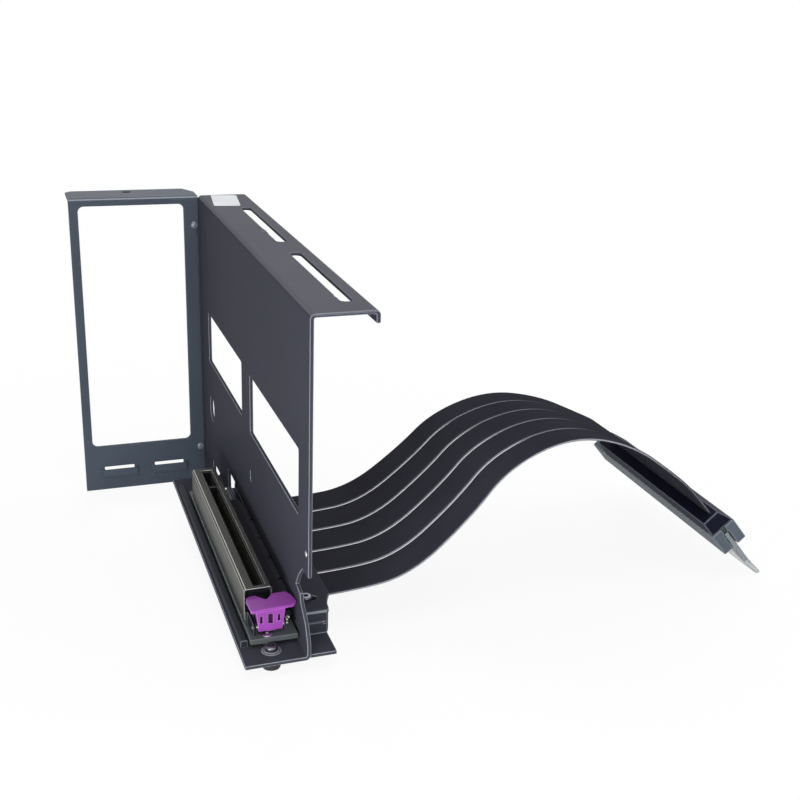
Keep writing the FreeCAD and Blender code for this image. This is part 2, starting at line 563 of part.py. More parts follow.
def clamp():
    t = SHEET_T
    x0 = PANEL_X1
    zt = CLAMP_TOP - t / 2.0
    zb = FLOOR_BOTTOM + t / 2.0
    hat, _ = sheet_profile([(TAB_FRONT, zb), (COVER_FRONT + t / 2, zb), (COVER_FRONT + t / 2, zt),
                            (COVER_REAR - t / 2, zt), (COVER_REAR - t / 2, zb), (TAB_REAR, zb)],
                           t, 0.5 + t / 2, x0, COVER_X1, "yz")
    f, r = COVER_FRONT, COVER_REAR
    nose = prism_z([(COVER_NOSE_X1, TAB_FRONT - 1), (COVER_NOSE_X1, f + 0.6), (COVER_NOSE_X1 + 0.8, f + 1.3),
                    (COVER_NOSE_X1 + 1.1, f + 4.2), (COVER_NOSE_X1 + 2.2, f + 7.6), (COVER_X1, f + 9.7),
                    (COVER_X1 + 1, f + 9.7), (COVER_X1 + 1, TAB_FRONT - 1)], 0, 40)
    tail = prism_z([(COVER_NOSE_X1, TAB_REAR + 1), (COVER_NOSE_X1, r - 0.6), (COVER_X1, r - 9.7),
                    (COVER_X1 + 1, r - 9.7), (COVER_X1 + 1, TAB_REAR + 1)], 0, 40)
    hat = hat.cut(nose).cut(tail)
    cx, cy = COVER_SCREW
    low, high = CLAMP_TOP - 3.0, CLAMP_TOP + 1.0
    hole = fuse([box(cx - 0.6, cx + 2.2, cy - 1.35, cy + 1.35, low, high),
                 cyl(1.35, high - low, (cx - 0.6, cy, low)), cyl(1.35, high - low, (cx + 2.2, cy, low))])
    hat = hat.cut(hole)
    hat = hat.cut(cyl(0.4, 3.0, (COVER_NOSE_X1 - 0.9, f - 1.0, HEM_Z - 0.2), (0, 1, 0)))
    hat = hat.cut(box(x0 - 1, COVER_X1 + 1, f - 0.1, f + 0.25, HEM_Z, HEM_Z + 0.3))
    write("cable_cover", hat)
    bed_top = STRIP_Z - STRIP_T / 2.0
    bed = box(x0, COVER_NOSE_X1 - 0.9, f + t + 0.2, r - t - 0.2, FLOOR_BOTTOM, bed_top)
    bed = bed.cut(cyl(1.0, 20.0, (cx, cy, FLOOR_BOTTOM + 1.5)))
    write("cable_bed", bed)
    pad_y0, pad_y1 = f + t + 0.6, RIBBON_Y0 - 0.4
    pad = box(x0, COVER_NOSE_X1 - 0.9, pad_y0, pad_y1, bed_top, CLAMP_TOP - t)
    pad = pad.cut(cyl(1.0, 20.0, (cx, cy, bed_top - 1)))
    write("clamp_spacer", pad)
    base = box(BOARD_X1 - 4.5, COVER_NOSE_X1 - 0.8, PANEL_FRONT + 3.4, TAB_REAR - 2.0,
               FLOOR_BOTTOM - BASE_T, FLOOR_BOTTOM)
    base = fillet_near(base, 1.5, lambda e: abs(e.tangentAt(e.FirstParameter).z) > 0.99)
    write("base_plate", base)
    head = cyl(1.9, 1.2, (cx, cy, CLAMP_TOP))
    head = fillet_near(head, 0.5, lambda e: e.BoundBox.ZMin > CLAMP_TOP + 1.19 and e.Length > 3)
    hexa = prism_z([(cx + 0.9 * math.cos(math.radians(60 * i)), cy + 0.9 * math.sin(math.radians(60 * i)))
                    for i in range(6)], CLAMP_TOP + 0.5, CLAMP_TOP + 2.0)
    shank = cyl(1.0, CLAMP_TOP - FLOOR_BOTTOM - 1.5, (cx, cy, FLOOR_BOTTOM + 1.5))
    write("cover_screw", fuse([head, shank]).cut(hexa))
    anchor_x1 = PANEL_X0 + NEAR_ROUTE[0][0]
    y0, y1 = RIBBON_Y0 - 0.3, RIBBON_Y1 + 0.3
    anchor = box(anchor_x1 - ANCHOR_W, anchor_x1, y0, y1, BOARD_Z1, BOARD_Z1 + ANCHOR_H)
    anchor = fillet_near(anchor, 0.5, lambda e: abs(e.tangentAt(e.FirstParameter).y) > 0.99
                         and e.BoundBox.ZMin > BOARD_Z1 + 1)
    write("cable_anchor", anchor)


def strips():
    pitch = (RIBBON_Y1 - RIBBON_Y0) / STRIPS
    for i in range(STRIPS):
        k = (i + 0.5) / STRIPS
        pts = [(PANEL_X0 + (1 - k) * a[0] + k * b[0], (1 - k) * a[1] + k * b[1])
               for a, b in zip(NEAR_ROUTE, FAR_ROUTE)]
        radii = []
        for j in range(1, len(pts) - 1):
            u1x, u1z, l1, _ = side(pts[j - 1], pts[j], 1.0)
            u2x, u2z, l2, _ = side(pts[j], pts[j + 1], 1.0)
            turn = math.acos(max(-1.0, min(1.0, u1x * u2x + u1z * u2z)))
            radii.append(0.45 * min(l1, l2) / math.tan(turn / 2.0))
        y0 = RIBBON_Y0 + i * pitch + STRIP_GAP / 2.0
        y1 = RIBBON_Y0 + (i + 1) * pitch - STRIP_GAP / 2.0
        solid, length = ribbon(pts, STRIP_T, radii, y0, y1)
        want = STRIP_T * (y1 - y0) * length
        print("strip", i + 1, "length %.1f" % length, "volume/section %.4f" % (solid.Volume / want),
              "radii", " ".join("%.0f" % r for r in radii))
        write("cable_strip_%d" % (i + 1), solid)


def plug_point(s, n):
    """A point of the plug's section: s along the plug, n across it."""
    a = math.radians(PLUG_ANGLE)
    x = PLUG_ROOT[0] + s * math.cos(a) + n * math.sin(a)
    return (x, PLUG_ROOT[1] - s * math.sin(a) + n * math.cos(a))


def plug_prism(points, y0, y1):
    return prism_y([plug_point(s, n) for s, n in points], y0, y1)


def plug_box(s0, s1, n0, n1, y0, y1):
    return plug_prism([(s0, n0), (s1, n0), (s1, n1), (s0, n1)], y0, y1)


def plug_comb(s0, s1, n0, n1, y0, y1):
    """Gold fingers: one comb, joined at its root end."""
    count = int(round((y1 - y0) / CONTACT_PITCH))
    plan = [(s0, y0), (s0 + 1.2, y0)]
    for i in range(count):
        b = y0 + i * CONTACT_PITCH + 0.15
        plan += [(s0 + 1.2, b), (s1, b), (s1, b + 0.7), (s0 + 1.2, b + 0.7)]
    plan += [(s0 + 1.2, y0 + count * CONTACT_PITCH), (s0, y0 + count * CONTACT_PITCH)]
    pts = [V(plug_point(s, n0)[0], y, plug_point(s, n0)[1]) for s, y in plan]
    wire = Part.makePolygon(pts + [pts[0]])
    (ax, az), (bx, bz) = plug_point(0.0, n0), plug_point(0.0, n1)
    return Part.Face(wire).extrude(V(bx - ax, 0, bz - az))


def plug():
    y0, y1 = PLUG_Y0, PLUG_Y1
    h = PLUG_BOARD_T / 2.0
    cap = [(-CAP_LEN, -CAP_LOW), (0.0, -CAP_LOW), (0.0, CAP_HIGH), (-CAP_LEN, CAP_HIGH_REAR)]
    write("plug_cap", plug_prism(cap, y0 + 0.6, CAP_Y1))
    for name, s in (("plug_lower_shell", -1.0), ("plug_upper_shell", 1.0)):
        low, high = min(s * h, s * SHELL_HALF), max(s * h, s * SHELL_HALF)
        shell = plug_box(0.0, SHELL_LEN, low, high, y0, y1)
        low, high = min(0.0, s * SLEEVE_HALF), max(0.0, s * SLEEVE_HALF)
        write(name, shell.cut(plug_box(SLEEVE_LINE[0][0], SHELL_LEN + 1, low, high, y0 - 1, y1 + 1)))
    board = plug_box(0.0, PLUG_BOARD_LEN, -h, h, y0 + 0.9, y1 - 0.9)
    key_y = y1 - 0.9 - SHORT_LEN
    key = plug_box(PLUG_BOARD_LEN - FINGER_LEN - 0.5, PLUG_BOARD_LEN + 1, -h - 1, h + 1, key_y - 1.9, key_y)
    write("plug_board", board.cut(key))
    f = 0.1
    s0, s1 = PLUG_BOARD_LEN - FINGER_LEN, PLUG_BOARD_LEN - 0.6
    long_rows = math.floor(key_y - 1.9 - (y0 + 0.9))
    combs = []
    for n0, n1 in ((h, h + f), (-h - f, -h)):
        combs.append(plug_comb(s0, s1, n0, n1, key_y + 0.6, key_y + 11.6))
        combs.append(plug_comb(s0, s1, n0, n1, key_y - 1.9 - long_rows, key_y - 1.9))
    write("gold_fingers", Part.makeCompound(combs))
    line = [plug_point(s, n) for s, n in SLEEVE_LINE]
    radii = [SLEEVE_R] * (len(line) - 2)
    outer, _ = ribbon(line, 2.0 * SLEEVE_HALF, radii, y0 + 0.3, y1 - 0.3)
    first, last = SLEEVE_LINE[0], SLEEVE_LINE[-1]
    ends = [(first[0] - 0.01, first[1])] + list(SLEEVE_LINE[1:-1]) + [(last[0] - SLEEVE_T, last[1])]
    line = [plug_point(s, n) for s, n in ends]
    room = 2.0 * (SLEEVE_HALF - SLEEVE_T)
    inner, _ = ribbon(line, room, radii, y0 + 0.3 + SLEEVE_T, y1 - 0.3 - SLEEVE_T)
    write("plug_sleeve", outer.cut(inner))


def label():
    card = Part.makeBox(LABEL_W, LABEL_L, 0.12, V(LABEL_AT[0], LABEL_AT[1], PLATE_H))
    card = fillet_near(card, LABEL_R, lambda e: abs(e.tangentAt(e.FirstParameter).z) > 0.99)
    card.rotate(V(LABEL_AT[0], LABEL_AT[1], PLATE_H), V(0, 0, 1), LABEL_TURN)
    write("blank_label", card)


os.makedirs("parts", exist_ok=True)
main_bracket()
io_plate()
plate_rivets()
panel_stud()
riser()
slot()
latch()
fasteners()
clamp()
strips()
plug()
label()
print("origin shift", SHIFT)
for name, count, volume in NODES:
    print("%-18s solids %d volume %.1f" % (name, count, volume))
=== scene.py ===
# %% [markdown]
# # A vertical graphics card mount with its ribbon riser cable
# The sheets, boards and plastic parts come ready made from the CAD model and must not move. What is added
# here is everything that makes them look real: softened edges, the flowing ribbon, the rows of contacts,
# the finishes, the floor, the lamps and the camera.

import json
import math

import bmesh
import bpy
from mathutils import Matrix, Vector


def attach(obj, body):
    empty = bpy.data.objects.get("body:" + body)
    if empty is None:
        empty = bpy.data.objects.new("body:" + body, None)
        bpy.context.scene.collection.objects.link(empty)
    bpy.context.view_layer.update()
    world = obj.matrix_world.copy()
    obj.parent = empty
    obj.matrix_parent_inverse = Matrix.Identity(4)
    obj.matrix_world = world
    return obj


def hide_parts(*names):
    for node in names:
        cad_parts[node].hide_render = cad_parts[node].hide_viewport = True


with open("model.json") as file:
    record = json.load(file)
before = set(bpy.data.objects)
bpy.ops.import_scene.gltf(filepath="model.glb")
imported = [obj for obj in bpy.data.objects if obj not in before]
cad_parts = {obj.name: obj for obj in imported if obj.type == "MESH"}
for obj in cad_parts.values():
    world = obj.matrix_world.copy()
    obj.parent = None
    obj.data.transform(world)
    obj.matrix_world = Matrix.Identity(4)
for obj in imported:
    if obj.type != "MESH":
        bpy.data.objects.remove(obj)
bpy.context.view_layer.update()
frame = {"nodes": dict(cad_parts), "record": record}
NODES = frame["nodes"]

# %% [markdown]
# ## From the drawing to the row
# The CAD drawing is in millimetres and starts at the plate's lower front corner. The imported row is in
# metres, and its origin is elsewhere. One function turns a point of the first into a point of the second,
# so that every size below can be read off the drawing.

# %% Points of the drawing
MM = 0.001
SHIFT = Vector((-34.35, 75.4, 0.0))


def at(x, y, z):
    """A point of the drawing, in millimetres, as a point of the row, in metres."""
    return (Vector((x, y, z)) + SHIFT) * MM


print("the drawing's origin is at", tuple(at(0.0, 0.0, 0.0)))

# %% [markdown]
# ## The camera
# The place and lens were solved from known sizes in the photograph: the pitch of two card slots, the
# length of the x16 socket and the plate's height. A camera looks along its own -Z, so its three axes are
# written down as the columns of a matrix.

# %% Camera
FOCAL_PX = 1142.3
IMAGE_PX = 800
SENSOR_MM = 36.0
YAW, PITCH, ROLL = (math.radians(a) for a in (20.086, 20.54, 2.124))
CAMERA_AT = at(-26.7, -445.07, 205.48)

ahead = Vector((math.sin(YAW) * math.cos(PITCH), math.cos(YAW) * math.cos(PITCH), -math.sin(PITCH)))
level = Vector((math.cos(YAW), -math.sin(YAW), 0.0))
upward = level.cross(ahead)
right = level * math.cos(ROLL) + upward * math.sin(ROLL)
top = upward * math.cos(ROLL) - level * math.sin(ROLL)

camera_data = bpy.data.cameras.new("camera")
camera_data.sensor_width = SENSOR_MM
camera_data.lens = FOCAL_PX * SENSOR_MM / IMAGE_PX
camera_data.clip_start = 0.01
camera = bpy.data.objects.new("camera", camera_data)
bpy.context.collection.objects.link(camera)
camera.matrix_world = Matrix((
    (right.x, top.x, -ahead.x, CAMERA_AT.x),
    (right.y, top.y, -ahead.y, CAMERA_AT.y),
    (right.z, top.z, -ahead.z, CAMERA_AT.z),
    (0.0, 0.0, 0.0, 1.0),
))
bpy.context.scene.camera = camera
print("lens", round(camera_data.lens, 2), "mm")

# %% [markdown]
# ## A short language for finishes
# A finish is a tree of shader nodes. Written by hand, even 1 - mask takes three lines, so one small class
# wraps a socket and lets Python's own operators add the Math nodes. A second class adds every other kind
# of node, and serves the world's tree as well as the materials'.

# %% Shader expressions


class Value:
    """One output socket. Arithmetic on it adds Math nodes to the same tree."""

    def __init__(self, tree, socket):
        self.tree = tree
        self.socket = socket

    def _math(self, operation, a, b):
        return self.tree.node("ShaderNodeMath", {"operation": operation}, {0: a, 1: b})

    def __add__(self, other):
        return self._math("ADD", self, other)

    __radd__ = __add__

    def __sub__(self, other):
        return self._math("SUBTRACT", self, other)

    def __rsub__(self, other):
        return self._math("SUBTRACT", other, self)

    def __mul__(self, other):
        return self._math("MULTIPLY", self, other)

    __rmul__ = __mul__

    def __gt__(self, other):
        return self._math("GREATER_THAN", self, other)

    def __lt__(self, other):
        return self._math("LESS_THAN", self, other)


class ShaderTree:
    """A node tree that is being built. node() adds any node and returns one of its outputs."""

    def __init__(self, node_tree):
        self.tree = node_tree
        self.tree.nodes.clear()

    def node(self, kind, settings=None, inputs=None, out=0):
        made = self.tree.nodes.new(kind)
        for key, value in (settings or {}).items():
            setattr(made, key, value)
        for key, value in (inputs or {}).items():
            if isinstance(value, Value):
                self.tree.links.new(value.socket, made.inputs[key])
            else:
                made.inputs[key].default_value = value
        return Value(self, made.outputs[out])

    def outputs(self, kind, inputs, names):
        """Several outputs of one node."""
        made = self.node(kind, {}, inputs).socket.node
        return [Value(self, made.outputs[name]) for name in names]

    def show(self, shader, end="ShaderNodeOutputMaterial"):
        """Link the finished shader to the tree's end."""
        last = self.tree.nodes.new(end)
        self.tree.links.new(shader.socket, last.inputs["Surface"])


print("shader expressions ready")

# %% [markdown]
# ## What every finish needs
# Most finishes need a place on the piece, a noise, a blend of two colours, and a bump. These are methods,
# so that each finish below reads like a recipe. where() gives other paint to the faces that carry a mark:
# a painted highlight on softened edges and bend crests, and painted shade in the latch's slots.

# %% Finish helpers


class Finish(ShaderTree):
    """A material that is being built."""

    def __init__(self, name):
        self.material = bpy.data.materials.new(name)
        self.material.use_nodes = True
        super().__init__(self.material.node_tree)

    def place(self):
        return self.node("ShaderNodeTexCoord", out="Object")

    def noise(self, scale, detail=2.0, where=None):
        return self.node("ShaderNodeTexNoise", {}, {
            "Vector": where or self.place(), "Scale": scale, "Detail": detail})

    def stretch(self, scale):
        return self.node("ShaderNodeMapping", {}, {"Vector": self.place(), "Scale": scale})

    def blend(self, amount, a, b):
        return self.node("ShaderNodeMix", {"data_type": "RGBA"}, {0: amount, 6: a, 7: b}, out=2)

    def soft_step(self, value, low, high, at_low, at_high):
        """One level below low, another above high, and a smooth change between them."""
        return self.node("ShaderNodeMapRange", {"interpolation_type": "SMOOTHSTEP"}, {
            "Value": value, "From Min": low, "From Max": high, "To Min": at_low, "To Max": at_high})

    def where(self, mark, color, other):
        """The colour, or the other one on faces that carry the mark."""
        if other is None:
            return color
        return self.blend(self.node("ShaderNodeAttribute", {"attribute_name": mark}, out="Fac"), color, other)

    def bump(self, height, distance, strength):
        return self.node("ShaderNodeBump", {}, {"Height": height, "Distance": distance, "Strength": strength})

    def surface(self, **inputs):
        names = {key.replace("_", " "): value for key, value in inputs.items()}
        self.show(self.node("ShaderNodeBsdfPrincipled", {}, names))
        return self.material


def rgb(r, g, b):
    """A colour read as 0 to 255 on a screen, as the linear numbers that a shader wants."""
    def line(c):
        c = c / 255.0
        return c / 12.92 if c <= 0.04045 else ((c + 0.055) / 1.055) ** 2.4
    return (line(r), line(g), line(b), 1.0)


def scaled(color, k):
    """The same hue, lighter or darker."""
    return tuple(min(1.0, c * k) for c in color[:3]) + (1.0,)


print("mid grey is", round(rgb(128, 128, 128)[0], 3), "for a shader")

# %% [markdown]
# ## Powder coat
# Powder coat is paint that was dusted on and baked, so it has a fine skin like orange peel. Its colour
# hardly changes, and its gloss does. A fine noise makes the skin, and a broad one the gloss. The top
# flanges get a painted sheen, a paler colour that stands in for the light they catch, and the crest of a
# bend gets a painted highlight.

# %% Powder coat
FLANGE_TOP = 0.1203
PEEL, GLOSS_CLOUD = 2600.0, 34.0
# painted highlight on the crest of a bend
BEND_HIGHLIGHT = rgb(134, 140, 150)


def powder_coat(name, color, rough, edge, specular, flange_sheen=None):
    f = Finish(name)
    fine = f.noise(PEEL)
    broad = f.noise(GLOSS_CLOUD, 3.0)
    tint = f.blend(broad, color, scaled(color, 1.35))
    # painted sheen: above FLANGE_TOP the colour turns paler, for the light that the flanges catch
    if flange_sheen:
        height = f.node("ShaderNodeSeparateXYZ", {}, {0: f.place()}, out=2)
        tint = f.blend((height > FLANGE_TOP) * (0.6 + broad * 0.4), tint, flange_sheen)
    # painted highlights: the edge colour on softened edges, and a paler grey on bend crests
    tint = f.where("bend", f.where("rim", tint, edge), BEND_HIGHLIGHT)
    return f.surface(Base_Color=tint, Roughness=rough + (broad - 0.5) * 0.16,
                     Specular_IOR_Level=specular, Normal=f.bump(fine, 0.00005, 0.45))


print("powder coat ready")

# %% [markdown]
# ## Moulded plastic and plated metal
# Moulded plastic copies the fine grain of its mould. Plated or brushed metal has hair lines instead, which
# are a noise that is stretched along one direction of the piece. Both have a broad, faint cloud, for dust
# on the plastic and for tarnish on the metal.

# %% Moulded plastic and plated metal
GRAIN, COARSE_GRAIN, DUST = 1500.0, 700.0, 90.0
HAIR_LINES, TARNISH = 1800.0, 75.0


def moulded(name, color, rough, specular=0.2, grain=GRAIN, edge=None, slot_shade=None):
    f = Finish(name)
    fine = f.noise(grain)
    broad = f.noise(DUST)
    tint = f.blend(broad, color, scaled(color, 1.3))
    # painted highlight on the softened edges, and painted shade in the latch's slots
    tint = f.where("slot_shade", f.where("rim", tint, edge), slot_shade)
    return f.surface(Base_Color=tint, Roughness=rough + (fine - 0.5) * 0.12,
                     Specular_IOR_Level=specular, Normal=f.bump(fine, 0.00005, 0.4))


def plated(name, color, rough, along=(1.0, 0.05, 1.0), cloud=0.8, edge=None):
    f = Finish(name)
    lines = f.noise(HAIR_LINES, where=f.stretch(along))
    broad = f.noise(TARNISH, 3.0)
    tint = f.blend(broad, scaled(color, cloud), color)
    # painted highlight on the softened edges
    return f.surface(Base_Color=f.where("rim", tint, edge), Metallic=1.0, Roughness=rough + lines * 0.14,
                     Normal=f.bump(lines, 0.00002, 0.35))


print("plastic and metal ready")

# %% [markdown]
# ## The ribbon's jacket
# Each strip holds a row of wires under one black jacket, so its skin has faint ribs, and its rims get a
# painted highlight, a pale grey that stands in for the light their round edges catch. The pattern must
# follow the strip over its hump, so it reads the strip's own UV map: U runs across the strip, and V along
# it. The painted highlight is left out in the clamp and fades towards the plug.

# %% Ribbon jacket
WIRES = 16.0
# painted highlight colour for the strips' rims
RIM_HIGHLIGHT = rgb(164, 166, 174)
# metres of strip in one unit of V
V_UNIT = 0.18


def ribbon_jacket():
    f = Finish("ribbon_jacket")
    uv = f.node("ShaderNodeUVMap", {"uv_map": "strip"})
    across, along = f.outputs("ShaderNodeSeparateXYZ", {0: uv}, ("X", "Y"))
    ribs = f.node("ShaderNodeMath", {"operation": "SINE"}, {0: across * (2.0 * math.pi * WIRES)})
    # painted highlight on the strips' rims, left out in the clamp and fading towards the plug
    strip_edge_highlight = f.soft_step(across, 0.012, 0.05, 1.0, 0.0) + f.soft_step(across, 0.95, 0.985, 0.0, 1.0)
    clear = f.soft_step(along, 0.012, 0.03, 0.0, 0.8)
    highlight_fade = f.soft_step(along, 0.74, 0.9, 1.0, 0.35)
    broad = f.noise(45.0, 3.0)
    black = f.blend(broad, rgb(42, 42, 49), rgb(56, 56, 64))
    return f.surface(Base_Color=f.blend(strip_edge_highlight * clear * highlight_fade, black, RIM_HIGHLIGHT),
                     Roughness=0.5 + (broad - 0.5) * 0.14, Specular_IOR_Level=0.0,
                     Normal=f.bump(ribs, 0.00001, 0.2))


print("jacket ready")

# %% [markdown]
# ## Clear film
# The sleeve over the gold edge is thin soft film. Real glass nodes would make it vanish on white, so it is
# an ordinary surface whose Alpha rises where the film is seen edge on, with a little haze at its creases.

# %% Clear film


def clear_film():
    f = Finish("clear_film")
    creases = f.noise(190.0, 3.0, f.stretch((1.0, 0.35, 1.0)))
    edge_on = f.node("ShaderNodeLayerWeight", {}, {"Blend": 0.35}, out=1)
    haze = f.soft_step(creases, 0.45, 0.75, 0.0, 0.2)
    tint = f.blend(edge_on, rgb(168, 176, 182), rgb(74, 80, 88))
    return f.surface(Base_Color=tint, Roughness=0.1, Specular_IOR_Level=0.6,
                     Alpha=0.34 + edge_on * 0.5 + haze, Normal=f.bump(creases, 0.0005, 0.6))


print("film ready")

# %% [markdown]
# ## The table of finishes
# Every material slot of the record gets its finish here. Two more are paints of their own. The rear plate
# is a bluer and glossier steel than the bracket, and also lighter, which is painted light for the stronger
# light on its front face. The plug's cap is painted darker than its shells: painted shade, for the shadow
# under the ribbon.
# Dark paint keeps almost no specular, because the white studio would turn it grey at a low angle.

# %% All finishes
BRUSHED_UP = (1.0, 1.0, 0.1)

# each edge colour below is a painted highlight on the softened edges
MATS = {
    # black_steel's paler flange colour is a painted sheen
    "black_steel": powder_coat("black_steel", rgb(52, 53, 61), 0.46, edge=rgb(116, 119, 127),
                               specular=0.004, flange_sheen=rgb(98, 98, 106)),
    # lighter than black_steel: painted light for the stronger front light on the plate's face
    "plate_steel": powder_coat("plate_steel", rgb(60, 67, 77), 0.42, edge=rgb(72, 80, 90), specular=0.06),
    "rivet_steel": powder_coat("rivet_steel", rgb(92, 97, 108), 0.26, edge=rgb(150, 150, 160), specular=0.5),
    "board_green": moulded("board_green", rgb(64, 69, 70), 0.5, grain=COARSE_GRAIN, edge=rgb(116, 122, 122)),
    "bright_steel": plated("bright_steel", rgb(206, 206, 204), 0.2),
    "black_plastic": moulded("black_plastic", rgb(32, 33, 39), 0.55, 0.1, edge=rgb(104, 106, 114)),
    "slot_plastic": moulded("slot_plastic", rgb(16, 16, 22), 0.5, 0.1, edge=rgb(90, 92, 98)),
    "shield_metal": plated("shield_metal", rgb(74, 74, 70), 0.36, along=(1.0, 0.03, 1.0), cloud=0.6,
                           edge=rgb(190, 190, 184)),
    "contact_gold": plated("contact_gold", rgb(214, 186, 120), 0.24, along=BRUSHED_UP),
    "contact_dark": plated("contact_dark", rgb(132, 128, 114), 0.3, along=BRUSHED_UP),
    # the latch's slots get painted shade, a dark purple
    "latch_purple": moulded("latch_purple", rgb(126, 56, 140), 0.36, 0.3, edge=rgb(190, 122, 200),
                            slot_shade=rgb(46, 16, 54)),
    "dark_screw": plated("dark_screw", rgb(104, 104, 110), 0.3, along=(1.0, 1.0, 1.0)),
    "foot_rubber": moulded("foot_rubber", rgb(44, 44, 50), 0.6),
    "anchor_plastic": moulded("anchor_plastic", rgb(14, 14, 21), 0.6, 0.08, edge=rgb(70, 72, 80)),
    "cable_black": ribbon_jacket(),
    "plug_plastic": moulded("plug_plastic", rgb(76, 84, 92), 0.46, 0.1, edge=rgb(108, 116, 124)),
    # the cap's dark paint is painted shade, for the shadow under the ribbon
    "plug_dark": moulded("plug_dark", rgb(18, 18, 32), 0.6, 0.04, edge=rgb(84, 88, 100)),
    "plug_board": moulded("plug_board", rgb(58, 66, 68), 0.5, grain=COARSE_GRAIN),
    "clear_film": clear_film(),
    "label_white": moulded("label_white", rgb(204, 206, 209), 0.7, 0.1),
}
print(len(MATS), "finishes")

# %% [markdown]
# ## The ribbon's routes
# Five flat strips leave the clamp side by side, rise over a hump and drop into the plug. The front edge
# climbs higher than the rear one, so the strips fan a little. Each edge is a smooth line: a NURBS spline
# that is drawn through the same few points as in the CAD drawing, and turned into plain points.

# %% Ribbon routes
PANEL_FACE = 49.0
NEAR_ROUTE = [
    (-0.4, 22.3), (21.0, 22.3), (40.6, 25.5), (59.9, 43.1), (72.4, 59.3),
    (94.5, 67.8), (116.6, 62.2), (135.4, 48.4), (144.3, 40.4), (150.6, 32.8),
]
FAR_ROUTE = [
    (-0.4, 22.3), (21.0, 22.3), (41.0, 24.2), (60.0, 38.0), (73.0, 50.6),
    (94.5, 57.4), (116.0, 53.6), (134.0, 45.0), (144.5, 39.8), (150.6, 32.8),
]
RIBBON_Y0, RIBBON_Y1 = -145.0, -72.6
STEPS_PER_POINT = 14


def plain_mesh(holder):
    """The evaluated object as a plain mesh, with its modifiers and curves worked out."""
    bpy.context.view_layer.update()
    return bpy.data.meshes.new_from_object(holder.evaluated_get(bpy.context.evaluated_depsgraph_get()))


def smooth_line(points):
    """Points along the NURBS spline that has these control points."""
    curve = bpy.data.curves.new("route", "CURVE")
    curve.dimensions = "3D"
    curve.resolution_u = STEPS_PER_POINT
    spline = curve.splines.new("NURBS")
    spline.points.add(len(points) - 1)
    for control, p in zip(spline.points, points):
        control.co = (p[0], p[1], p[2], 1.0)
    spline.order_u = 3
    spline.use_endpoint_u = True
    spline.resolution_u = STEPS_PER_POINT
    holder = bpy.data.objects.new("route", curve)
    bpy.context.collection.objects.link(holder)
    mesh = plain_mesh(holder)
    line = [v.co.copy() for v in mesh.vertices]
    bpy.data.meshes.remove(mesh)
    bpy.data.objects.remove(holder)
    bpy.data.curves.remove(curve)
    return line


def route_line(y):
    """The ribbon's line at one place across it, between its front and its rear edge."""
    k = (y - RIBBON_Y0) / (RIBBON_Y1 - RIBBON_Y0)
    pts = [at(PANEL_FACE + (1 - k) * a[0] + k * b[0], y, (1 - k) * a[1] + k * b[1])
           for a, b in zip(NEAR_ROUTE, FAR_ROUTE)]
    return smooth_line(pts)


print("each route has", len(route_line(RIBBON_Y0)), "points")

# %% [markdown]
# ## One strip
# A strip is a flat band with round edges. A curve with a bevel would twist where the two edges climb
# differently, so the strip is lofted instead: at each step its section is laid between the front and the
# rear line, and neighbouring sections are joined by faces. The UV map is written along the way.

# %% Strip mesh
STRIP_T = 1.0
ACROSS = 14


def strip_section(width):
    """Points round the section: the place across the strip from 0 to 1, and the height in metres."""
    half = STRIP_T / 2.0
    section = []
    for side in (1.0, -1.0):
        for i in range(ACROSS + 1):
            u = i / ACROSS if side > 0 else 1.0 - i / ACROSS
            inset = min(u, 1.0 - u) * width / half
            lift = math.sqrt(max(0.0, 1.0 - (1.0 - min(inset, 1.0)) ** 2))
            if 0 < i < ACROSS or side > 0:
                section.append((u, side * half * MM * lift))
    return section


def strip_rings(bm, section, front, rear, middle):
    """A ring of vertices for each step along the strip, and how far along each ring is."""
    rings, runs = [], []
    run = 0.0
    for j, (a, b) in enumerate(zip(front, rear)):
        after = middle[min(j + 1, len(middle) - 1)]
        before = middle[max(j - 1, 0)]
        normal = (after - before).normalized().cross((b - a).normalized()).normalized()
        if normal.z < 0:
            normal.negate()
        if j:
            run += (middle[j] - middle[j - 1]).length
        runs.append(run)
        rings.append([bm.verts.new(a.lerp(b, u) + normal * h) for u, h in section])
    return rings, runs


def strip_mesh(name, y0, y1):
    """The strip's object, its middle line and its length."""
    middle = route_line((y0 + y1) / 2.0)
    section = strip_section(y1 - y0)
    bm = bmesh.new()
    uv = bm.loops.layers.uv.new("strip")
    rings, runs = strip_rings(bm, section, route_line(y0), route_line(y1), middle)
    for j in range(len(rings) - 1):
        for i in range(len(section)):
            k = (i + 1) % len(section)
            face = bm.faces.new((rings[j][i], rings[j][k], rings[j + 1][k], rings[j + 1][i]))
            face.smooth = True
            us = (section[i][0], section[k][0], section[k][0], section[i][0])
            vs = (runs[j], runs[j], runs[j + 1], runs[j + 1])
            for loop, u, v in zip(face.loops, us, vs):
                loop[uv].uv = (u, v / V_UNIT)
    bm.faces.new(list(reversed(rings[0])))
    bm.faces.new(rings[-1])
    bmesh.ops.recalc_face_normals(bm, faces=bm.faces)
    mesh = bpy.data.meshes.new(name)
    bm.to_mesh(mesh)
    bm.free()
    piece = bpy.data.objects.new(name, mesh)
    bpy.context.collection.objects.link(piece)
    mesh.materials.append(MATS["cable_black"])
    return piece, middle, runs[-1]


print("a strip's section has", 2 * ACROSS, "points")

# %% [markdown]
# ## Five strips side by side
# The five strips share the ribbon's width, with a narrow gap between two of them. Each one takes the place
# of its plain CAD node.

# %% Ribbon strips
STRIPS = 5
STRIP_GAP = 0.3

